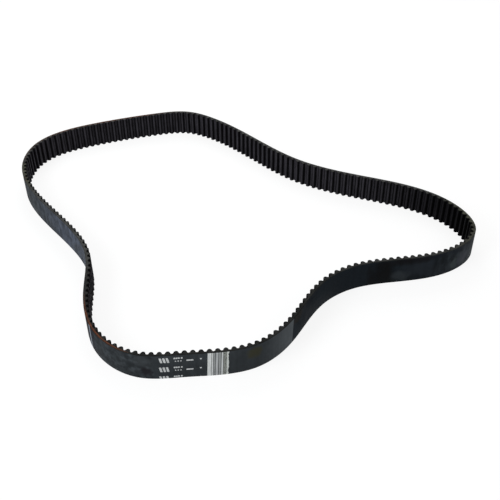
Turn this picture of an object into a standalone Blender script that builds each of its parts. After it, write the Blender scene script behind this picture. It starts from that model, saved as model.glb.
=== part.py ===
"""Endless timing belt with rounded teeth, standing on its lower edge in a loose loop.

The belt is built as it is made: a rubber backing, a layer of wound tensile cord,
tooth rubber and a fabric facing, each of them a closed band bonded to the next one.
Lengths are in metres, +Z is up, and the origin is under the middle of the loop.
"""

import bmesh
import bpy
import numpy as np

MM = 0.001

# Tooth form
TOOTH_COUNT = 192
TOOTH_PITCH = 8.0 * MM
TOOTH_HEIGHT = 3.3 * MM
TOOTH_ROOT_WIDTH = 5.2 * MM
TOOTH_FULLNESS = 2.1        # exponent of the tooth's curve: 2 is an ellipse, more is squarer
TOOTH_FACETS = 5            # straight facets that stand for the curve

# Layers through the belt, from its back to its teeth
BELT_WIDTH = 32.0 * MM
BACKING_THICKNESS = 0.85 * MM
CORD_THICKNESS = 0.8 * MM
UNDERCORD_THICKNESS = 0.4 * MM
FACING_THICKNESS = 0.3 * MM
BOND_GAP = 0.05 * MM

# Where the loose loop lies on the floor, seen from above and listed clockwise from the left.
# The curve through these points is the cord's line, drawn to the belt's own length.
LOOP_ROUTE_MM = [
    (-272, 105), (-264, 149), (-185, 202), (-112, 224), (-72, 228),
    (-36, 211), (36, 143), (76, 107), (150, 71), (216, 44),
    (260, 4), (270, -37), (242, -70), (174, -89), (126, -100),
    (94, -122), (52, -186), (22, -213), (-50, -226), (-96, -226),
    (-138, -197), (-159, -130), (-167, -72), (-190, -31), (-238, 29),
]
SAMPLES_PER_SPAN = 160      # points on the curve between two route points
SHARP_EDGE = np.radians(40)  # facets that meet at more than this are drawn as an edge

BELT_LENGTH = TOOTH_COUNT * TOOTH_PITCH

# Distances from the cord's centre line, positive towards the teeth
CORD_FRONT = CORD_THICKNESS / 2
BACKING_FRONT = -CORD_FRONT - BOND_GAP
BELT_BACK = BACKING_FRONT - BACKING_THICKNESS
RUBBER_BACK = CORD_FRONT + BOND_GAP
LAND = RUBBER_BACK + UNDERCORD_THICKNESS + BOND_GAP + FACING_THICKNESS

# Colour, roughness
BACKING_FINISH = ((0.030, 0.032, 0.037), 0.55)
CORD_FINISH = ((0.250, 0.115, 0.050), 0.70)
RUBBER_FINISH = ((0.012, 0.012, 0.013), 0.60)
FACING_FINISH = ((0.018, 0.017, 0.018), 0.75)


def clear_scene():
    for obj in list(bpy.data.objects):
        bpy.data.objects.remove(obj, do_unlink=True)


def closed_curve(knots):
    """Points along the closed cubic through the knots, even in slope and in curvature."""
    count = len(knots)
    after = np.roll(knots, -1, axis=0)
    span = np.linalg.norm(after - knots, axis=1)
    slope = (after - knots) / span[:, None]
    system = np.zeros((count, count))
    for i in range(count):
        system[i, i - 1] += span[i - 1]
        system[i, i] += 2 * (span[i - 1] + span[i])
        system[i, (i + 1) % count] += span[i]
    bend = np.linalg.solve(system, 6 * (slope - np.roll(slope, 1, axis=0)))
    along = np.linspace(0, 1, SAMPLES_PER_SPAN, endpoint=False)[:, None]
    back = 1 - along
    pieces = []
    for i in range(count):
        chord = back * knots[i] + along * after[i]
        bow = (back**3 - back) * bend[i] + (along**3 - along) * bend[(i + 1) % count]
        pieces.append(chord + span[i] ** 2 / 6 * bow)
    return np.concatenate(pieces)


class CordLine:
    """The cord's centre line, by the length run along it from the first route point."""

    def __init__(self):
        points = closed_curve(np.array(LOOP_ROUTE_MM) * MM)
        steps = np.linalg.norm(np.roll(points, -1, axis=0) - points, axis=1)
        stretch = BELT_LENGTH / steps.sum()
        self.points = points * stretch
        self.run = np.concatenate([[0], np.cumsum(steps)[:-1]]) * stretch
        ahead = np.roll(self.points, -1, axis=0) - np.roll(self.points, 1, axis=0)
        ahead /= np.linalg.norm(ahead, axis=1)[:, None]
        self.inward = np.stack([ahead[:, 1], -ahead[:, 0]], axis=1)
        outline = self.points + BELT_BACK * self.inward
        self.points -= (outline.min(axis=0) + outline.max(axis=0)) / 2

    def read(self, values, run):
        columns = [np.interp(run, self.run, values[:, axis], period=BELT_LENGTH) for axis in range(2)]
        return np.stack(columns, axis=1)

    def chain(self, profile):
        """A profile of one pitch, as (along, inward) pairs, repeated for every tooth."""
        starts = (np.arange(TOOTH_COUNT) + 0.5) * TOOTH_PITCH
        along = (starts[:, None] + profile[:, 0]).ravel()
        inward = np.tile(profile[:, 1], TOOTH_COUNT)
        normal = self.read(self.inward, along)
        normal /= np.linalg.norm(normal, axis=1)[:, None]
        return self.read(self.points, along) + inward[:, None] * normal


def tooth_profile():
    """The facing's outer line over one pitch, from the root of one tooth to the next land."""
    turn = np.linspace(np.pi, 0, TOOTH_FACETS + 1)
    power = 2 / TOOTH_FULLNESS
    across = np.sign(np.cos(turn)) * np.abs(np.cos(turn)) ** power * TOOTH_ROOT_WIDTH / 2
    rise = np.abs(np.sin(turn)) ** power
    return np.stack([across, LAND + TOOTH_HEIGHT * rise / rise.max()], axis=1)


def sunk_profile(profile, depth):
    """The line that lies the given depth under a profile, measured square to each facet."""
    pitch = np.array([TOOTH_PITCH, 0])
    before = profile - np.vstack([profile[-1] - pitch, profile[:-1]])
    after = np.vstack([profile[1:], profile[0] + pitch]) - profile
    before /= np.linalg.norm(before, axis=1)[:, None]
    after /= np.linalg.norm(after, axis=1)[:, None]
    square = np.stack([before[:, 1] + after[:, 1], -before[:, 0] - after[:, 0]], axis=1)
    square /= np.linalg.norm(square, axis=1)[:, None]
    half_turn_cosine = np.sqrt((1 + (before * after).sum(axis=1)) / 2)
    return profile + depth * square / half_turn_cosine[:, None]


def plain_profile(inward):
    """One facet for each pitch, from tooth root to tooth root, at an even distance from the cord."""
    return np.array([[-TOOTH_ROOT_WIDTH / 2, inward]])


def belt_layer(name, line, back_profile, front_profile, finish):
    """A closed band between two profiles, drawn flat on the floor and raised to the belt's width."""
    mesh = bmesh.new()
    rings = []
    for profile in (back_profile, front_profile):
        rings.append([mesh.verts.new((x, y, 0)) for x, y in line.chain(profile)])
    cells = TOOTH_COUNT * min(len(back_profile), len(front_profile))
    for cell in range(cells):
        corners = []
        for ring, order in zip(rings, (1, -1)):
            step = len(ring) // cells
            side = [ring[(cell * step + k) % len(ring)] for k in range(step + 1)]
            corners += side[::order]
        mesh.faces.new(corners)
    raised = bmesh.ops.extrude_face_region(mesh, geom=mesh.faces[:])
    top = [item for item in raised["geom"] if isinstance(item, bmesh.types.BMVert)]
    bmesh.ops.translate(mesh, verts=top, vec=(0, 0, BELT_WIDTH))
    bmesh.ops.recalc_face_normals(mesh, faces=mesh.faces[:])
    data = bpy.data.meshes.new(name)
    mesh.to_mesh(data)
    mesh.free()
    data.shade_smooth()
    data.set_sharp_from_angle(angle=SHARP_EDGE)
    data.materials.append(layer_material(name, finish))
    obj = bpy.data.objects.new(name, data)
    bpy.context.scene.collection.objects.link(obj)
    return obj


def layer_material(name, finish):
    colour, roughness = finish
    material = bpy.data.materials.new(name)
    material.use_nodes = True
    shader = material.node_tree.nodes["Principled BSDF"]
    shader.inputs["Base Color"].default_value = (*colour, 1)
    shader.inputs["Roughness"].default_value = roughness
    shader.inputs["Metallic"].default_value = 0
    return material


def main():
    clear_scene()
    line = CordLine()
    facing_front = tooth_profile()
    facing_back = sunk_profile(facing_front, FACING_THICKNESS)
    rubber_front = sunk_profile(facing_front, FACING_THICKNESS + BOND_GAP)
    layers = [
        ("backing_rubber", plain_profile(BELT_BACK), plain_profile(BACKING_FRONT), BACKING_FINISH),
        ("tensile_cord", plain_profile(-CORD_FRONT), plain_profile(CORD_FRONT), CORD_FINISH),
        ("tooth_rubber", plain_profile(RUBBER_BACK), rubber_front, RUBBER_FINISH),
        ("facing_fabric", facing_back, facing_front, FACING_FINISH),
    ]
    belt = bpy.data.objects.new("timing_belt", None)
    bpy.context.scene.collection.objects.link(belt)
    for name, back, front, finish in layers:
        belt_layer(name, line, back, front, finish).parent = belt


main()
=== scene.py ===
"""The looks of an endless timing belt that lies in a loose loop on a pale floor.

Every piece is drawn straight first, as a stretched-out belt: along it is the run, through it
the depth, across it the height, all in millimetres. It is then laid on the loop that the
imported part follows, and its two ends are joined. The finishes read the same straight places.
"""

import math
import random

import bmesh
import bpy
import numpy as np
from mathutils import Matrix, Vector


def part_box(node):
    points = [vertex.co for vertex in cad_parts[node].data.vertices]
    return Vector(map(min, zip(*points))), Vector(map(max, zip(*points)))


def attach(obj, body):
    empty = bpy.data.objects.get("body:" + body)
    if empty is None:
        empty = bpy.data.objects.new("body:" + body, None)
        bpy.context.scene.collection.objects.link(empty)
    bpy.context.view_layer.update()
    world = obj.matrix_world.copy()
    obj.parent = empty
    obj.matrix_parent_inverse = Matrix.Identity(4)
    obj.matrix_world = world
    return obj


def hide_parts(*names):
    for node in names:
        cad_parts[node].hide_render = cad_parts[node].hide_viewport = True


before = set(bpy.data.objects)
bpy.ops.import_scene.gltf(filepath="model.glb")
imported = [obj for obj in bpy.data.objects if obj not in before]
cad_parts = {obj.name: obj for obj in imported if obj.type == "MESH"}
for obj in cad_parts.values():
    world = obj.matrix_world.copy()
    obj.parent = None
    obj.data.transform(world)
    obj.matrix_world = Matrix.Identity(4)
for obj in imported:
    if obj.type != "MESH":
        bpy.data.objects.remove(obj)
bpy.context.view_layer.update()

MM = 0.001

# The belt's own sizes, in millimetres
TOOTH_COUNT = 192
TOOTH_PITCH = 8.0
TOOTH_HEIGHT = 3.3
TOOTH_ROOT_WIDTH = 5.2
TOOTH_FULLNESS = 2.1         # exponent of the tooth's curve: 2 is an ellipse, more is squarer
ROOT_RADIUS = 1.1
FLANK_STEPS = 8
ROOT_STEPS = 3
FABRIC_THICKNESS = 0.3
THREADS_PER_TOOTH = 24       # the fabric's threads over one tooth and one land
THREAD_WIDTH = 0.48
BELT_LENGTH = TOOTH_COUNT * TOOTH_PITCH
BELT_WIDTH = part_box("backing_rubber")[1].z / MM
HOOP_RADIUS = BELT_LENGTH / (2 * math.pi)

# Depths from the cord's line, positive towards the teeth
BELT_BACK = -1.28
CORD_RADIUS = 0.40
CORD_BED = -0.42
LAND = 1.20
INK_THICKNESS = 0.03
FILM_THICKNESS = 0.015
BOND = 0.02                  # a hair's breadth between layers, and between the cord's cut and the rubber's
EASED_EDGE = 0.15
INKED_HEIGHTS = (EASED_EDGE, BELT_WIDTH - EASED_EDGE)
SAME_POINT = 0.01            # points of the straight belt that are closer than this are one
SEAM = 0.002                 # so are points of the laid belt that are closer than this
SHARP_EDGE = math.radians(38)  # faces that meet at more than this show an edge

# The cord is wound round and round from the lower edge to the upper one, and climbs by one spacing
# a turn. By the run: how far off the edge's cut its middle is, in spacings. Near 0 the cut lays it open.
CORD_SPACING = 1.0
CORD_SIDES = 7
CORD_STEPS = 256             # straight lengths in one turn
CORD_OFF_CUT = [
    (-436, -0.50), (-390, -0.50), (-372, -0.28), (-288, -0.26), (-270, -0.43), (-12, -0.43),
    (30, -0.30), (110, 0.0), (220, 0.30), (300, 0.43), (1100, 0.50),
]

# Where the loose loop lies, seen from above and listed clockwise from the left
LOOP_ROUTE = [
    (-272, 105), (-264, 149), (-185, 202), (-112, 224), (-72, 228),
    (-36, 211), (36, 143), (76, 107), (150, 71), (216, 44),
    (260, 4), (270, -37), (242, -70), (174, -89), (126, -100),
    (94, -122), (52, -186), (22, -213), (-50, -226), (-96, -226),
    (-138, -197), (-159, -130), (-167, -72), (-190, -31), (-238, 29),
]
SAMPLES_PER_SPAN = 160

# The backing's lap: the rubber is darker from a soft start up to a sharp line, and pale just past it
DARK_START = (690.0, 800.0)
LAP_LINE = 980.0
LAP_SLANT = 0.06
LAP_BLUR = (0.8, -0.4)
PALE_PAST_LAP = 50.0

# Chalky bloom and painted sheen on the back, paler and bluer along the left stretch: where it is thickest,
# and where it ends
BLOOM_AND_SHEEN_RUN = (1305.0, 1428.0)
BLOOM_AND_SHEEN_SOFT = 55.0

# Where the cord's brown dip has come off on the cut edge, and where specks of it begin and end
STAINED_RUNS = [(1162.0, 1246.0), (70.0, 215.0)]
SPECKS_START = (1470.0, 1490.0)
SPECKS_END = (170.0, 130.0)

# Dust on the cut edges, yellowish at two bends; the cut edges are darker along the near side, and darkest
# along its later stretch
DARKER_CUT_RUN = (735.0, 1290.0)
DARKEST_CUT_RUN = (890.0, 1290.0)
YELLOWISH_RUN = (640.0, 740.0)
YELLOWISH_START = (1465.0, 1500.0)
CUT_FADE = (0.2, 0.05)       # how far from the long edges the cut's colour starts, and where it is full

# The fabric is painted darker along one stretch, a painted shade, and painted lighter towards the loop's
# first point, a painted sheen
SHADED_FABRIC_RUN = (592.0, 770.0)
SHADED_FABRIC_SOFT = 100.0
SHEEN_NEAR_START = (100.0, 50.0)

# Stains on the back, and one patch of painted shade: run, height, half length, half width, colour
STAINS_AND_SHADE = [
    (738, 13, 9, 10, (0.066, 0.072, 0.086)),
    (752, 11, 5, 9, (0.062, 0.076, 0.080)),
    (750, 28, 10, 5, (0.013, 0.017, 0.022)),
    (769, 22, 4, 9, (0.010, 0.012, 0.014)),
    (788, 30, 34, 4, (0.012, 0.014, 0.020)),
    (1032, 23, 9, 8, (0.056, 0.053, 0.030)),
    (800, 16, 28, 14, (0.022, 0.027, 0.034)),
    (839, 13, 17, 27, (0.0040, 0.0036, 0.0032)),
    (806, 28, 26, 6, (0.0065, 0.0058, 0.0062)),
    (817, 9, 12, 9, (0.037, 0.044, 0.050)),
    (948, 16, 26, 44, (0.0062, 0.0086, 0.0116)),
    (970, 27, 9, 7, (0.0120, 0.0105, 0.0085)),
    (1138, 10, 7, 8, (0.0200, 0.0175, 0.0210)),
    (1141, 25, 10, 8, (0.062, 0.069, 0.075)),
    (1207, 19, 7, 32, (0.020, 0.021, 0.027)),
    # Painted shade: the next row darkens the back at the left bend, just past the highlight streak
    (1237, 16, 34, 44, (0.007, 0.010, 0.013)),
]
STAIN_AND_SHADE_STRENGTH = 0.8
MOTTLED_RUNS = [(715.0, 820.0), (1330.0, 1510.0)]
MOTTLE_SOFT = 40.0
SMUDGED_RUN = (1131.0, 1240.0)
SMUDGE_SOFT = 2.0
# A painted highlight: a long pale bluish streak across the back at the left bend
HIGHLIGHT_STREAK_RUN = 1213.0
HIGHLIGHT_STREAK_SLANT = -0.02
HIGHLIGHT_STREAK_FADE = (2.3, 0.6)      # how far from its line the painted highlight starts, and where it is full

# The print leans a little: how far along for each millimetre up, and the height where it is in place
PRINT_SLANT = -0.05
PRINT_PIVOT = 10.0

# The patch of stripes: strips by their distance from its straight edge, thickness, colour and wear
PATCH_RUN = 1078.9
STRIPES = {
    "grey_stripes": ([(0.0, 5.4), (5.8, 7.2), (7.7, 10.4), (10.9, 12.8), (13.2, 15.0)], FILM_THICKNESS,
                     (0.42, 0.44, 0.44), 0.06),
    "dull_stripe": ([(15.3, 18.2)], FILM_THICKNESS, (0.34, 0.36, 0.33), 0.17),
    "pale_stripe": ([(8.2, 10.0)], INK_THICKNESS, (0.60, 0.62, 0.63), 0.02),
    "white_stripes": ([(0.0, 3.5), (4.3, 5.3), (13.7, 14.9)], INK_THICKNESS, (0.93, 0.96, 0.95), -0.04),
}
TORN_STRIP = (18.5, 20.2)
TORN_BITS = 24
TORN_REACH = 0.4

# Rows of plain ink marks: runs and heights, the heights from the middle of the row
MARK_ROWS = 3
TOP_ROW = 25.5
ROW_SPACING = 12.7
SLANTED_BARS = [(1116.3, 1118.5), (1119.6, 1121.8), (1122.9, 1125.1)]
SLANTED_BAR_HEIGHTS = (-3.3, 3.3)
BAR_SLANT = 0.22
UPPER_DASHES = [(1102.9, 1104.6), (1105.6, 1107.6), (1107.9, 1109.4), (1109.7, 1111.6)]
UPPER_DASH_HEIGHTS = (1.3, 3.2)
LOWER_DASHES = [(1103.9, 1105.1), (1106.5, 1107.7), (1109.1, 1110.3)]
LOWER_DASH_HEIGHTS = (-2.5, -1.1)
LONG_DASHES = [(1092.5, 1099.3)]
LONG_DASH_HEIGHTS = (-2.3, -0.6)
DOT_RUN = 1085.3
DOT_RADIUS = 0.95
DOT_SIDES = 20
DOT_HEIGHT = -0.4
MARK_ROUNDING = 0.25         # of a mark's smaller side

# The photograph's camera
IMAGE_SIZE = 500
SENSOR_WIDTH = 36.0
FOCAL_PIXELS = 818
CAMERA_TARGET = Vector((0.0152, -0.0332, 0.0))
CAMERA_DISTANCE = 0.9486
CAMERA_ELEVATION = math.radians(39.80)
CAMERA_ROLL = math.radians(-0.373)

# The studio: levels for light that a surface receives, and for what is seen directly
WORLD_LEVELS = (0.4, 1.0)
FLOOR_COLOUR = (0.5, 0.2)
FLOOR_GLOW = (0.0, 0.85)
FLOOR_HALF_SIZE = 4.0

# Softboxes: place, target, size, power and colour
SOFTBOXES = {
    "left_softbox": ((-0.85, -0.6, 0.8), (-0.15, 0, 0), 0.7, 7, (0.93, 0.97, 1.0)),
    "right_softbox": ((1.1, -0.6, 0.9), (0.1, 0, 0), 0.8, 2.5, (1, 1, 1)),
    "rear_softbox": ((-0.1, 0.8, 0.75), (0, 0.1, 0), 0.8, 4, (1, 1, 1)),
}

# Colours
SLATE = (0.0445, 0.0510, 0.0565)
DARK_SLATE = (0.0120, 0.0160, 0.0205)
PALE_SLATE = (0.117, 0.131, 0.142)
BLOOM_AND_SHEEN = (0.080, 0.092, 0.120)
HIGHLIGHT_STREAK_GREY = (0.37, 0.40, 0.46)
CUT_RUBBER = (0.0385, 0.0390, 0.0370)
OLIVE_DUST = (0.0430, 0.0435, 0.0335)
CORD_STAIN = (0.110, 0.034, 0.014)
CORD_SPECK = (0.17, 0.085, 0.045)
BLACK_FABRIC = (0.0128, 0.0120, 0.0142)
CUT_FABRIC = (0.006, 0.006, 0.006)
BROWN_DIP = (0.125, 0.041, 0.018)
DULL_DIP = (0.064, 0.033, 0.018)
BETWEEN_STRANDS = (0.03, 0.018, 0.012)
MARK_INK = (0.80, 0.82, 0.82)
TORN_INK = (0.80, 0.84, 0.80)
WORN_THROUGH = (0.025, 0.028, 0.030)


# The loop

def closed_curve(knots):
    """Points along the closed cubic through the knots, even in slope and in curvature."""
    count = len(knots)
    after = np.roll(knots, -1, axis=0)
    span = np.linalg.norm(after - knots, axis=1)
    slope = (after - knots) / span[:, None]
    system = np.zeros((count, count))
    for i in range(count):
        system[i, i - 1] += span[i - 1]
        system[i, i] += 2 * (span[i - 1] + span[i])
        system[i, (i + 1) % count] += span[i]
    bend = np.linalg.solve(system, 6 * (slope - np.roll(slope, 1, axis=0)))
    along = np.linspace(0, 1, SAMPLES_PER_SPAN, endpoint=False)[:, None]
    back = 1 - along
    pieces = []
    for i in range(count):
        chord = back * knots[i] + along * after[i]
        bow = (back**3 - back) * bend[i] + (along**3 - along) * bend[(i + 1) % count]
        pieces.append(chord + span[i] ** 2 / 6 * bow)
    return np.concatenate(pieces)


class LoopLine:
    """The cord's line round the loop, by the length run along it."""

    def __init__(self):
        points = closed_curve(np.array(LOOP_ROUTE, float))
        steps = np.linalg.norm(np.roll(points, -1, axis=0) - points, axis=1)
        stretch = BELT_LENGTH / steps.sum()
        self.points = points * stretch
        self.run = np.concatenate([[0], np.cumsum(steps)[:-1]]) * stretch
        ahead = np.roll(self.points, -1, axis=0) - np.roll(self.points, 1, axis=0)
        ahead /= np.linalg.norm(ahead, axis=1)[:, None]
        self.inward = np.stack([ahead[:, 1], -ahead[:, 0]], axis=1)
        outline = self.points + BELT_BACK * self.inward
        self.points -= (outline.min(axis=0) + outline.max(axis=0)) / 2

    def read(self, values, run):
        columns = [np.interp(run, self.run, values[:, axis], period=BELT_LENGTH) for axis in range(2)]
        return np.stack(columns, axis=1)

    def place(self, flat):
        """Points of the straight belt, in millimetres, where they lie on the loop, in metres."""
        normal = self.read(self.inward, flat[:, 0])
        normal /= np.linalg.norm(normal, axis=1)[:, None]
        plan = self.read(self.points, flat[:, 0]) + flat[:, 1:2] * normal
        return np.column_stack([plan, flat[:, 2]]) * MM


LOOP = LoopLine()


# From a straight piece to a finished one

def all_numbers(items, field, width, kind):
    values = np.empty(len(items) * width, kind)
    items.foreach_get(field, values)
    return values.reshape(-1, width)


def note_corners(data, name, places):
    data.attributes.new(name, "FLOAT_VECTOR", "CORNER").data.foreach_set("vector", places.ravel())


def on_hoop(flat):
    """Points of the straight belt on a round hoop of its length, where a pattern has no seam."""
    turn = flat[:, 0] / HOOP_RADIUS
    radius = HOOP_RADIUS - flat[:, 1]
    return np.stack([radius * np.cos(turn), radius * np.sin(turn), flat[:, 2]], axis=1)


def thread_places(flat):
    """Threads of the fabric counted along the run, up and down over the teeth, and across the belt."""
    tooth = np.floor(flat[:, 0] / TOOTH_PITCH)
    rest = flat[:, 0] - tooth * TOOTH_PITCH
    along = np.interp(rest, TOOTH_LINE[:, 0], THREAD_RUN) / THREAD_RUN[-1]
    return np.stack([THREADS_PER_TOOTH * (tooth + along), flat[:, 2] / THREAD_WIDTH], axis=1)


def finished(name, mesh, material):
    """Notes where each corner is on the straight belt, lays the piece on the loop and joins its ends."""
    data = bpy.data.meshes.new(name)
    mesh.to_mesh(data)
    mesh.free()
    flat = all_numbers(data.vertices, "co", 3, np.float32)
    corners = flat[all_numbers(data.loops, "vertex_index", 1, np.int32)[:, 0]]
    note_corners(data, "belt", corners)
    note_corners(data, "hoop", on_hoop(corners))
    threads = data.uv_layers.new(name="threads")
    threads.uv.foreach_set("vector", thread_places(corners).ravel())
    data.vertices.foreach_set("co", LOOP.place(flat).ravel())
    joined = bmesh.new()
    joined.from_mesh(data)
    bmesh.ops.remove_doubles(joined, verts=joined.verts, dist=SEAM * MM)
    bmesh.ops.recalc_face_normals(joined, faces=joined.faces)
    joined.to_mesh(data)
    joined.free()
    data.shade_smooth()
    data.set_sharp_from_angle(angle=SHARP_EDGE)
    data.materials.append(material)
    piece = bpy.data.objects.new(name, data)
    bpy.context.scene.collection.objects.link(piece)
    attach(piece, "root")
    return piece


# Shapes of the straight belt

def tooth_line(sink):
    """One pitch of the toothed side as (run, depth) points, the given depth under the fabric's skin."""
    half = TOOTH_ROOT_WIDTH / 2 - sink
    height = TOOTH_HEIGHT - sink
    power = 2 / TOOTH_FULLNESS
    start = math.asin((ROOT_RADIUS / height) ** (TOOTH_FULLNESS / 2))
    right = []
    for turn in np.linspace(math.pi / 2, start, FLANK_STEPS // 2 + 1):
        right.append((half * math.cos(turn) ** power, LAND + height * math.sin(turn) ** power))
    for turn in np.linspace(math.pi, 1.5 * math.pi, ROOT_STEPS + 1)[1:]:
        reach = ROOT_RADIUS + sink
        across = TOOTH_ROOT_WIDTH / 2 + ROOT_RADIUS + reach * math.cos(turn)
        right.append((across, LAND + ROOT_RADIUS + reach * math.sin(turn)))
    right.append((TOOTH_PITCH / 2, LAND - sink))
    left = [(-across, depth) for across, depth in reversed(right[1:])]
    return np.array(left + right) + np.array([TOOTH_PITCH / 2, 0])


TOOTH_LINE = tooth_line(0)
THREAD_RUN = np.concatenate([[0], np.cumsum(np.linalg.norm(np.diff(TOOTH_LINE, axis=0), axis=1))])


def drawn_line(mesh, points):
    verts = [mesh.verts.new((run, depth, 0)) for run, depth in points]
    return [mesh.edges.new(pair) for pair in zip(verts, verts[1:])]


def everything(mesh):
    return mesh.verts[:] + mesh.edges[:] + mesh.faces[:]


def new_verts(made):
    return [item for item in made["geom"] if isinstance(item, bmesh.types.BMVert)]


def repeated(mesh, step, count):
    """Sets copies of all there is along the run, one step apart, and joins them."""
    bmesh.ops.spin(mesh, geom=everything(mesh), cent=(0, 0, 0), axis=(0, 0, 1), dvec=(step, 0, 0),
                   angle=0, steps=count - 1, use_duplicate=True)
    bmesh.ops.remove_doubles(mesh, verts=mesh.verts, dist=SAME_POINT)


def toothed_layer(front, back, heights):
    """A layer between two lines of one pitch, repeated tooth by tooth and raised to the belt's width."""
    mesh = bmesh.new()
    bmesh.ops.bridge_loops(mesh, edges=drawn_line(mesh, front) + drawn_line(mesh, back))
    repeated(mesh, TOOTH_PITCH, TOOTH_COUNT)
    bmesh.ops.translate(mesh, verts=mesh.verts, vec=(0, 0, heights[0]))
    raised = bmesh.ops.extrude_face_region(mesh, geom=mesh.faces[:])
    bmesh.ops.translate(mesh, verts=new_verts(raised), vec=(0, 0, heights[1] - heights[0]))
    open_ends(mesh)
    return mesh


def open_ends(mesh):
    """Takes away the walls across the belt's two ends, where it closes on itself."""
    walls = []
    for face in mesh.faces:
        runs = [vert.co.x for vert in face.verts]
        if max(runs) < SAME_POINT or min(runs) > BELT_LENGTH - SAME_POINT:
            walls.append(face)
    bmesh.ops.delete(mesh, geom=walls, context="FACES_ONLY")


def bar(mesh, low, high):
    """A straight-sided bar between two corners, added to the mesh. Returns its vertices."""
    made = bmesh.ops.create_cube(mesh, size=1)["verts"]
    low, high = Vector(low), Vector(high)
    bmesh.ops.scale(mesh, verts=made, vec=high - low)
    bmesh.ops.translate(mesh, verts=made, vec=(low + high) / 2)
    return made


def edges_along(verts, axis):
    """The edges among these vertices that follow one axis."""
    chosen = set(verts)
    edges = {edge for vert in verts for edge in vert.link_edges}
    found = []
    for edge in edges:
        ends = edge.verts
        across = ends[0].co - ends[1].co
        if ends[0] in chosen and ends[1] in chosen and abs(across[axis]) > 0.99 * across.length:
            found.append(edge)
    return sorted(found, key=lambda edge: edge.index)


def cut_across(mesh, height, side):
    """Cuts off what lies past a height, above it for side 1 or below it for side -1, and closes the cut."""
    cut = bmesh.ops.bisect_plane(mesh, geom=everything(mesh), dist=1e-5, plane_co=(0, 0, height),
                                 plane_no=(0, 0, side), clear_outer=True)
    rim = [item for item in cut["geom_cut"] if isinstance(item, bmesh.types.BMEdge)]
    bmesh.ops.triangle_fill(mesh, edges=rim, use_beauty=True, use_dissolve=False)


# The pieces

def make_backing(material):
    """The smooth outer rubber, with its long edges eased."""
    mesh = bmesh.new()
    bar(mesh, (0, BELT_BACK + INK_THICKNESS, 0), (BELT_LENGTH, CORD_BED - BOND, BELT_WIDTH))
    bmesh.ops.bevel(mesh, geom=edges_along(mesh.verts[:], 0), offset=EASED_EDGE, offset_type="OFFSET",
                    affect="EDGES", segments=2, profile=0.5, material=-1)
    open_ends(mesh)
    bmesh.ops.subdivide_edges(mesh, edges=edges_along(mesh.verts[:], 0), cuts=4 * TOOTH_COUNT - 1,
                              use_grid_fill=True)
    return finished("backing", mesh, material)


def make_tooth_body(material):
    front = tooth_line(FABRIC_THICKNESS + BOND)
    back = [(run, CORD_BED) for run, depth in front]
    return finished("tooth_body", toothed_layer(front, back, (BOND, BELT_WIDTH - BOND)), material)


def make_tooth_fabric(material):
    back = tooth_line(FABRIC_THICKNESS)
    return finished("tooth_fabric", toothed_layer(TOOTH_LINE, back, (0, BELT_WIDTH)), material)


def cord_height(run):
    """The height of the cord's middle: one spacing up for each turn, with its wander."""
    runs, offs = zip(*CORD_OFF_CUT)
    turn = np.floor((run - runs[0]) / BELT_LENGTH)
    return CORD_SPACING * (turn + np.interp(run - turn * BELT_LENGTH, runs, offs))


def make_cord_winding(material):
    """One cord wound from the lower edge to the upper one, and cut flat at both."""
    turns = math.ceil(BELT_WIDTH / CORD_SPACING) + 2
    mesh = bmesh.new()
    bmesh.ops.create_circle(mesh, segments=CORD_SIDES, radius=CORD_RADIUS,
                            matrix=Matrix.Rotation(math.pi / 2, 4, "Y"))
    grown = bmesh.ops.extrude_edge_only(mesh, edges=mesh.edges[:])
    bmesh.ops.translate(mesh, verts=new_verts(grown), vec=(BELT_LENGTH, 0, 0))
    bmesh.ops.subdivide_edges(mesh, edges=edges_along(mesh.verts[:], 0), cuts=CORD_STEPS - 1,
                              use_grid_fill=True)
    repeated(mesh, BELT_LENGTH, turns)
    runs = np.array([vert.co.x for vert in mesh.verts])
    for vert, height in zip(mesh.verts, cord_height(runs)):
        vert.co.z += height
    cut_across(mesh, 0, -1)
    cut_across(mesh, BELT_WIDTH, 1)
    return finished("cord_winding", mesh, material)


def ink_bar(mesh, runs, heights, thickness, slant=0.0, corner=0.0):
    """A thin bar of ink on the back, leaning by its slant, with rounded corners."""
    bed = BELT_BACK + INK_THICKNESS
    made = bar(mesh, (runs[0], bed - thickness, heights[0]), (runs[1], bed + BOND / 2, heights[1]))
    for vert in made:
        vert.co.x += slant * (vert.co.z - (heights[0] + heights[1]) / 2)
    if corner:
        bmesh.ops.bevel(mesh, geom=edges_along(made, 1), offset=corner, offset_type="OFFSET",
                        affect="EDGES", segments=3, profile=0.5, material=-1)
    return made


def ink_dot(mesh, height):
    """A thin round dot of ink on the back."""
    middle_depth = BELT_BACK + INK_THICKNESS + (BOND / 2 - INK_THICKNESS) / 2
    place = Matrix.Translation((DOT_RUN, middle_depth, height)) @ Matrix.Rotation(math.pi / 2, 4, "X")
    bmesh.ops.create_cone(mesh, cap_ends=True, segments=DOT_SIDES, radius1=DOT_RADIUS, radius2=DOT_RADIUS,
                          depth=INK_THICKNESS + BOND / 2, matrix=place)


def printed(name, mesh, material):
    """Leans a piece of the print with the rest of it, and finishes it."""
    for vert in mesh.verts:
        vert.co.x += PRINT_SLANT * (vert.co.z - PRINT_PIVOT)
    return finished(name, mesh, material)


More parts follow.
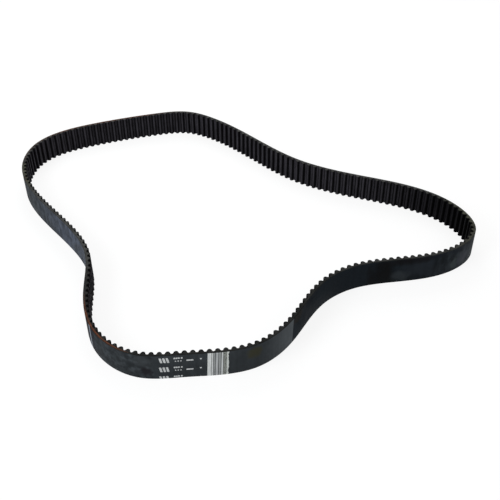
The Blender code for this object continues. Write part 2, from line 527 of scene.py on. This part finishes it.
def make_ink_marks(material):
    """Rows of plain marks, the lowest of them cut through by the belt's edge."""
    mesh = bmesh.new()
    groups = [
        (SLANTED_BARS, SLANTED_BAR_HEIGHTS, BAR_SLANT),
        (UPPER_DASHES, UPPER_DASH_HEIGHTS, 0),
        (LOWER_DASHES, LOWER_DASH_HEIGHTS, 0),
        (LONG_DASHES, LONG_DASH_HEIGHTS, 0),
    ]
    for row in range(MARK_ROWS):
        middle = TOP_ROW - row * ROW_SPACING
        for marks, (low, high), slant in groups:
            for runs in marks:
                corner = MARK_ROUNDING * min(runs[1] - runs[0], high - low)
                ink_bar(mesh, runs, (middle + low, middle + high), INK_THICKNESS, slant, corner)
        ink_dot(mesh, middle + DOT_HEIGHT)
    cut_across(mesh, EASED_EDGE, -1)
    loose = [vert for vert in mesh.verts if not vert.link_faces]
    bmesh.ops.delete(mesh, geom=loose, context="VERTS")
    return printed("ink_marks", mesh, material)


def make_stripes(name, strips, thickness, material):
    """Straight strips of ink over the belt's whole width."""
    mesh = bmesh.new()
    for near, far in strips:
        made = ink_bar(mesh, (PATCH_RUN - far, PATCH_RUN - near), INKED_HEIGHTS, thickness)
        bmesh.ops.subdivide_edges(mesh, edges=edges_along(made, 0), cuts=int(far - near),
                                  use_grid_fill=True)
    return printed(name, mesh, material)


def make_torn_stripe(material):
    """The strip along the far side of the patch, with two ragged sides."""
    mesh = bmesh.new()
    near, far = TORN_STRIP
    made = ink_bar(mesh, (PATCH_RUN - far, PATCH_RUN - near), INKED_HEIGHTS, INK_THICKNESS)
    bmesh.ops.subdivide_edges(mesh, edges=edges_along(made, 2), cuts=TORN_BITS - 1, use_grid_fill=True)
    chance = random.Random(8)
    wander = 0
    for height in np.linspace(*INKED_HEIGHTS, TORN_BITS + 1):
        wander = 0.6 * wander + chance.uniform(-TORN_REACH, TORN_REACH)
        for side, shift in ((near, chance.uniform(-0.5, 0.5) * TORN_REACH), (far, wander)):
            for vert in mesh.verts:
                off_side = abs(vert.co.x - PATCH_RUN + side)
                if off_side < SAME_POINT and abs(vert.co.z - height) < SAME_POINT:
                    vert.co.x += shift
    return printed("torn_stripe", mesh, material)


# Finishes

class Finish:
    """A material in the making: its shader, and short ways to add the nodes that feed it."""

    def __init__(self, name, specular):
        self.material = bpy.data.materials.new(name)
        self.material.use_nodes = True
        self.tree = self.material.node_tree
        self.shader = self.tree.nodes["Principled BSDF"]
        self.shader.inputs["Specular IOR Level"].default_value = specular
        self.belt = self.add("ShaderNodeAttribute", attribute_name="belt").outputs["Vector"]
        self.hoop = self.add("ShaderNodeAttribute", attribute_name="hoop").outputs["Vector"]
        self.run, self.depth, self.height = self.add("ShaderNodeSeparateXYZ", {0: self.belt}).outputs

    def add(self, kind, sockets=(), **settings):
        node = self.tree.nodes.new(kind)
        for field, value in settings.items():
            setattr(node, field, value)
        for key, value in dict(sockets).items():
            self.feed(node.inputs[key], value)
        return node

    def feed(self, socket, value):
        if isinstance(value, bpy.types.NodeSocket):
            self.tree.links.new(value, socket)
        else:
            socket.default_value = value

    def math(self, operation, first, second=0.0):
        return self.add("ShaderNodeMath", {0: first, 1: second}, operation=operation).outputs[0]

    def product(self, *factors):
        total = factors[0]
        for factor in factors[1:]:
            total = self.math("MULTIPLY", total, factor)
        return total

    def fade(self, value, start, end, low=0.0, high=1.0):
        """Goes smoothly from low to high as the value goes from start to end."""
        ends = {"Value": value, "From Min": start, "From Max": end, "To Min": low, "To Max": high}
        return self.add("ShaderNodeMapRange", ends, interpolation_type="SMOOTHSTEP").outputs[0]

    def level(self, share, none, full):
        """Goes smoothly from none to full as a share goes from 0 to 1."""
        return self.fade(share, 0, 1, none, full)

    def vary(self, pattern, low, high):
        """Follows a cloudy pattern, from low in its hollows to high on its crests."""
        return self.fade(pattern, 0.3, 0.7, low, high)

    def stretch(self, runs, soft):
        """1 along a stretch of the belt and 0 outside it, with soft ends."""
        start, end = runs
        rising = self.fade(self.run, start - soft, start + soft)
        return self.product(rising, self.fade(self.run, end + soft, end - soft))

    def either_stretch(self, pair, soft):
        return self.math("MAXIMUM", *[self.stretch(runs, soft) for runs in pair])

    def scaled(self, place, factors):
        return self.add("ShaderNodeVectorMath", {0: place, 1: factors}, operation="MULTIPLY").outputs[0]

    def noise(self, size, detail=2.0, stretch=(1, 1, 1)):
        """A cloudy pattern round 0.5, with clouds of one size, and longer ones where stretch is under 1."""
        place = self.scaled(self.hoop, [factor / size for factor in stretch])
        return self.add("ShaderNodeTexNoise", {"Vector": place, "Scale": 1.0, "Detail": detail}).outputs[0]

    def spot(self, run, height, half_run, half_height):
        """1 in the middle of a ragged patch on the belt, 0 outside it."""
        along = self.math("DIVIDE", self.math("SUBTRACT", self.run, run), half_run)
        across = self.math("DIVIDE", self.math("SUBTRACT", self.height, height), half_height)
        reach = self.math("ADD", self.product(along, along), self.product(across, across))
        ragged = self.math("ADD", reach, self.fade(self.noise(half_run, 4), 0.25, 0.75, -0.45, 0.45))
        return self.fade(ragged, 1.3, 0.0)

    def shaded(self, colour, tone):
        return self.add("ShaderNodeVectorMath", {0: colour, "Scale": tone}, operation="SCALE").outputs[0]

    def mix(self, share, first, second):
        sockets = {0: share}
        for key, colour in ((6, first), (7, second)):
            sockets[key] = colour if isinstance(colour, bpy.types.NodeSocket) else (*colour, 1)
        return self.add("ShaderNodeMix", sockets, data_type="RGBA").outputs[2]

    def bump(self, height, distance):
        """Raises the surface by up to the given distance, in millimetres."""
        node = self.add("ShaderNodeBump", {"Height": height, "Distance": distance * MM, "Strength": 1.0})
        self.feed(self.shader.inputs["Normal"], node.outputs[0])

    def done(self, colour, roughness):
        self.feed(self.shader.inputs["Base Color"], colour)
        self.feed(self.shader.inputs["Roughness"], roughness)
        return self.material


def near_cut_edge(finish):
    """1 on the belt's cut long edges, 0 on its faces."""
    start, full = CUT_FADE
    upper = finish.fade(finish.height, BELT_WIDTH - start, BELT_WIDTH - full)
    return finish.math("MAXIMUM", upper, finish.fade(finish.height, start, full))


def dusty_cut(finish):
    """The cut edges' rubber under dust, yellowish at two bends, darker along the near side and darkest along
    its later stretch.
    """
    tone = finish.product(finish.level(finish.stretch(DARKER_CUT_RUN, 40), 1, 0.65),
                          finish.level(finish.stretch(DARKEST_CUT_RUN, 60), 1, 0.5),
                          finish.vary(finish.noise(9, 4), 0.55, 1.45))
    yellowish = finish.math("MAXIMUM", finish.stretch(YELLOWISH_RUN, 30),
                            finish.fade(finish.run, *YELLOWISH_START))
    return finish.shaded(finish.mix(yellowish, CUT_RUBBER, OLIVE_DUST), tone)


def cord_stain(finish):
    """How far the cord's brown dip has come off on the cut rubber beside it, where the cut laid it open."""
    beside = finish.fade(finish.math("ABSOLUTE", finish.depth), 1.4, 0.6)
    patchy = finish.fade(finish.noise(5, 4), 0.35, 0.65, 0.3, 0.9)
    return finish.product(beside, finish.either_stretch(STAINED_RUNS, 10), patchy)


def cord_specks(finish):
    """Small bits of the cord's dip on the cut rubber of the left bend."""
    started = finish.fade(finish.run, *SPECKS_START)
    bend = finish.math("MAXIMUM", started, finish.fade(finish.run, *SPECKS_END))
    bits = finish.fade(finish.noise(2.2, 1), 0.64, 0.70)
    return finish.product(bits, finish.fade(finish.depth, 1.0, 0.5), bend, 0.6)


def tooth_rim(finish):
    """1 along the rim of a tooth's cut end, 0 in its middle and below it, by the tooth's own curve."""
    rest = finish.math("FLOORED_MODULO", finish.run, TOOTH_PITCH)
    across = finish.math("ABSOLUTE", finish.math("SUBTRACT", rest, TOOTH_PITCH / 2))
    rise = finish.math("MAXIMUM", finish.math("SUBTRACT", finish.depth, LAND), 0)
    shares = [finish.math("DIVIDE", across, TOOTH_ROOT_WIDTH / 2), finish.math("DIVIDE", rise, TOOTH_HEIGHT)]
    reach = finish.math("ADD", *[finish.math("POWER", share, TOOTH_FULLNESS) for share in shares])
    return finish.product(finish.fade(reach, 0.25, 0.8), finish.fade(finish.depth, LAND - 0.2, LAND + 0.5))


def back_colour(finish, clouds):
    """Slate that is dark before the lap's slanted line, pale just past it, and paler and bluer further on,
    with bloom and painted sheen.
    """
    slant = finish.math("MULTIPLY", finish.height, LAP_SLANT)
    past_lap = finish.math("SUBTRACT", finish.math("ADD", finish.run, slant), LAP_LINE)
    before_lap = finish.fade(past_lap, *LAP_BLUR)
    dark = finish.product(finish.fade(finish.run, *DARK_START), before_lap)
    pale = finish.product(finish.fade(past_lap, PALE_PAST_LAP, 0), finish.math("SUBTRACT", 1, before_lap))
    # Bloom and painted sheen: paler, bluer back along the left stretch
    bloom_and_sheen = finish.product(finish.stretch(BLOOM_AND_SHEEN_RUN, BLOOM_AND_SHEEN_SOFT), finish.fade(clouds, 0.3, 0.6, 0.7, 1))
    colour = finish.mix(dark, SLATE, DARK_SLATE)
    colour = finish.mix(pale, colour, PALE_SLATE)
    return finish.mix(bloom_and_sheen, colour, BLOOM_AND_SHEEN)


def mottle(finish):
    """Small patches in the back's tone, faint all over and strong in two stretches."""
    patches = finish.noise(6, 4, (1, 1, 0.5))
    mottled = finish.either_stretch(MOTTLED_RUNS, MOTTLE_SOFT)
    return finish.level(mottled, finish.vary(patches, 0.94, 1.06), finish.vary(patches, 0.62, 1.38))


def smudges(finish):
    """Squarish blotches where the back has been handled."""
    place = finish.scaled(finish.belt, (0.22, 0, 0.28))
    cells = finish.add("ShaderNodeTexVoronoi", {"Vector": place, "Scale": 1.0, "Randomness": 0.8},
                       distance="CHEBYCHEV", feature="SMOOTH_F1")
    boxes = finish.vary(cells.outputs["Color"], 0.75, 1.2)
    clouds = finish.fade(finish.noise(7, 4), 0.35, 0.65, 0.75, 1.25)
    return finish.level(finish.stretch(SMUDGED_RUN, SMUDGE_SOFT), 1, finish.product(boxes, clouds))


def painted_highlight_streak(finish, streaks):
    """1 along the back's one long painted highlight streak, with breaks in it, and 0 beside it."""
    lean = finish.math("MULTIPLY", finish.math("SUBTRACT", finish.height, BELT_WIDTH / 2), HIGHLIGHT_STREAK_SLANT)
    past = finish.math("SUBTRACT", finish.math("SUBTRACT", finish.run, HIGHLIGHT_STREAK_RUN), lean)
    line = finish.fade(finish.math("ABSOLUTE", past), *HIGHLIGHT_STREAK_FADE)
    return finish.product(line, finish.fade(streaks, 0.3, 0.6, 0.6, 0.95))


def ground_rubber():
    """Slate-grey rubber, ground smooth: cloudy, with grinding marks, stains, painted shade and sheen, and one
    long painted highlight streak.
    """
    finish = Finish("ground_rubber", 0.03)
    clouds = finish.noise(17, 4)
    streaks = finish.noise(3, 3, (1, 1, 0.05))
    grinding = finish.noise(0.4, 2, (0.05, 0.05, 1))
    tone = finish.product(finish.vary(clouds, 0.88, 1.12), finish.vary(streaks, 0.94, 1.06), mottle(finish),
                          smudges(finish))
    colour = finish.shaded(back_colour(finish, clouds), tone)
    # Stains, and one patch of painted shade at the left bend
    for run, height, half_run, half_height, stain_and_shade_colour in STAINS_AND_SHADE:
        share = finish.product(finish.spot(run, height, half_run, half_height), STAIN_AND_SHADE_STRENGTH)
        colour = finish.mix(share, colour, stain_and_shade_colour)
    # The painted highlight streak, laid over the back's colour
    colour = finish.mix(painted_highlight_streak(finish, streaks), colour, HIGHLIGHT_STREAK_GREY)
    cut = finish.mix(cord_stain(finish), dusty_cut(finish), CORD_STAIN)
    colour = finish.mix(near_cut_edge(finish), colour, cut)
    finish.bump(finish.math("ADD", grinding, streaks), 0.012)
    return finish.done(colour, finish.vary(clouds, 0.60, 0.75))


def cut_rubber():
    """The rubber of the teeth, dull and dusty where it is cut, and stained by the cord in places."""
    finish = Finish("cut_rubber", 0.1)
    grain = finish.noise(0.5, 3)
    tone = finish.product(finish.vary(grain, 0.7, 1.3), finish.level(tooth_rim(finish), 1.2, 0.3))
    colour = finish.shaded(dusty_cut(finish), tone)
    colour = finish.mix(cord_stain(finish), colour, CORD_STAIN)
    colour = finish.mix(cord_specks(finish), colour, CORD_SPECK)
    finish.bump(grain, 0.03)
    return finish.done(colour, 0.8)


def weave_height(finish):
    """The plain weave's crests and hollows, from -1 to 1."""
    threads = finish.add("ShaderNodeUVMap", uv_map="threads").outputs[0]
    along, across = finish.add("ShaderNodeSeparateXYZ", {0: threads}).outputs[:2]
    waves = [finish.math("SINE", finish.math("MULTIPLY", count, math.pi)) for count in (along, across)]
    return finish.product(*waves)


def tooth_fabric():
    """Black fabric soaked in rubber: a plain weave, grey along the tips from wear and a painted crest
    highlight, dusty on the lands; painted shade darkens one stretch, and a painted sheen lightens it near the
    loop's first point.
    """
    finish = Finish("tooth_fabric", 0.03)
    weave = weave_height(finish)
    top = LAND + TOOTH_HEIGHT
    tip = finish.fade(finish.depth, top - 0.5, top - 0.05)
    land = finish.fade(finish.depth, LAND + 0.65, LAND + 0.12)
    wear = finish.noise(5, 4, (1, 1, 0.3))
    # Tips lighter from wear and a painted crest highlight, lands lighter from dust
    wear_dust_and_highlight = finish.math("ADD", finish.product(tip, 2.85), finish.product(land, 3.3))
    tone = finish.product(finish.math("ADD", wear_dust_and_highlight, 0.46), finish.fade(weave, -1, 1, 0.85, 1.15),
                          finish.vary(wear, 0.75, 1.25),
                          # Painted shade along one stretch, and a painted sheen towards the loop's first
                          # point
                          finish.level(finish.stretch(SHADED_FABRIC_RUN, SHADED_FABRIC_SOFT), 1, 0.18),
                          finish.fade(finish.run, *SHEEN_NEAR_START, 1, 1.35))
    colour = finish.shaded(BLACK_FABRIC, tone)
    colour = finish.mix(near_cut_edge(finish), colour, CUT_FABRIC)
    finish.bump(finish.math("ABSOLUTE", weave), 0.04)
    return finish.done(colour, finish.level(tip, 0.85, 0.6))


def cord_fibre():
    """Twisted glass fibre in a brown dip."""
    finish = Finish("cord_fibre", 0.2)
    strands = finish.noise(0.35, 2, (0.15, 0.15, 1))
    patches = finish.noise(7, 3)
    colour = finish.mix(finish.fade(patches, 0.35, 0.65), BROWN_DIP, DULL_DIP)
    colour = finish.mix(finish.fade(strands, 0.55, 0.7), colour, BETWEEN_STRANDS)
    finish.bump(strands, 0.05)
    return finish.done(colour, finish.vary(strands, 0.6, 0.85))


def worn_ink(name, colour, wear):
    """Printing ink with small gaps, more of them the higher its wear."""
    finish = Finish(name, 0.15)
    flecks = finish.noise(1.1, 4)
    gaps = finish.fade(flecks, 0.68 - wear, 0.80 - wear)
    streaks = finish.noise(0.8, 2, (1, 1, 0.08))
    inked = finish.shaded(colour, finish.vary(streaks, 0.85, 1.1))
    shade = finish.mix(finish.product(gaps, 0.8), inked, WORN_THROUGH)
    finish.bump(flecks, 0.01)
    return finish.done(shade, finish.vary(flecks, 0.5, 0.7))


# The studio

def make_camera():
    data = bpy.data.cameras.new("camera")
    data.sensor_width = SENSOR_WIDTH
    data.lens = FOCAL_PIXELS / IMAGE_SIZE * SENSOR_WIDTH
    camera = bpy.data.objects.new("camera", data)
    bpy.context.scene.collection.objects.link(camera)
    away = Vector((0, -math.cos(CAMERA_ELEVATION), math.sin(CAMERA_ELEVATION)))
    turn = (-away).to_track_quat("-Z", "Y").to_matrix().to_4x4()
    roll = Matrix.Rotation(CAMERA_ROLL, 4, "Z")
    camera.matrix_world = Matrix.Translation(CAMERA_TARGET + CAMERA_DISTANCE * away) @ turn @ roll
    bpy.context.scene.camera = camera


def make_softbox(name, place, target, size, power, colour):
    """A round soft light that points at its target."""
    data = bpy.data.lights.new(name, "AREA")
    data.shape = "DISK"
    data.size = size
    data.energy = power
    data.color = colour
    light = bpy.data.objects.new(name, data)
    bpy.context.scene.collection.objects.link(light)
    place = Vector(place)
    turn = (Vector(target) - place).to_track_quat("-Z", "Y").to_matrix().to_4x4()
    light.matrix_world = Matrix.Translation(place) @ turn


def seen_directly(tree):
    """1 for rays from the camera and for what mirrors and glass show, 0 for light that a surface receives."""
    path = tree.nodes.new("ShaderNodeLightPath")
    total = path.outputs["Is Camera Ray"]
    for kind in ("Is Glossy Ray", "Is Transmission Ray"):
        add = tree.nodes.new("ShaderNodeMath")
        add.operation = "MAXIMUM"
        tree.links.new(total, add.inputs[0])
        tree.links.new(path.outputs[kind], add.inputs[1])
        total = add.outputs[0]
    return total


def set_by_ray(tree, socket, received, seen):
    """Gives a socket one level for light that a surface receives, and another for what is seen directly."""
    level = tree.nodes.new("ShaderNodeMapRange")
    level.inputs["To Min"].default_value = received
    level.inputs["To Max"].default_value = seen
    tree.links.new(seen_directly(tree), level.inputs["Value"])
    tree.links.new(level.outputs[0], socket)


def make_world():
    world = bpy.data.worlds.new("studio")
    bpy.context.scene.world = world
    world.use_nodes = True
    background = world.node_tree.nodes["Background"]
    background.inputs["Color"].default_value = (1, 1, 1, 1)
    set_by_ray(world.node_tree, background.inputs["Strength"], *WORLD_LEVELS)


def make_floor():
    mesh = bmesh.new()
    bmesh.ops.create_grid(mesh, x_segments=1, y_segments=1, size=FLOOR_HALF_SIZE)
    data = bpy.data.meshes.new("floor")
    mesh.to_mesh(data)
    mesh.free()
    floor = bpy.data.objects.new("floor", data)
    bpy.context.scene.collection.objects.link(floor)
    material = bpy.data.materials.new("pale_floor")
    material.use_nodes = True
    shader = material.node_tree.nodes["Principled BSDF"]
    shader.inputs["Roughness"].default_value = 0.9
    shader.inputs["Specular IOR Level"].default_value = 0
    shader.inputs["Emission Color"].default_value = (1, 1, 1, 1)
    set_by_ray(material.node_tree, shader.inputs["Base Color"], *FLOOR_COLOUR)
    set_by_ray(material.node_tree, shader.inputs["Emission Strength"], *FLOOR_GLOW)
    data.materials.append(material)


def main():
    layers = [
        (make_backing(ground_rubber()), "backing_rubber"),
        (make_tooth_body(cut_rubber()), "tooth_rubber"),
        (make_tooth_fabric(tooth_fabric()), "facing_fabric"),
        (make_cord_winding(cord_fibre()), "tensile_cord"),
    ]
    for piece, node in layers:
        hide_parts(node)
    prints = [
        make_ink_marks(worn_ink("mark_ink", MARK_INK, -0.05)),
        make_torn_stripe(worn_ink("torn_ink", TORN_INK, 0.04)),
    ]
    for name, (strips, thickness, colour, wear) in STRIPES.items():
        prints.append(make_stripes(name, strips, thickness, worn_ink(name, colour, wear)))
    make_camera()
    make_world()
    make_floor()
    for name, settings in SOFTBOXES.items():
        make_softbox(name, *settings)
    bpy.context.scene.view_settings.view_transform = "Standard"


main()
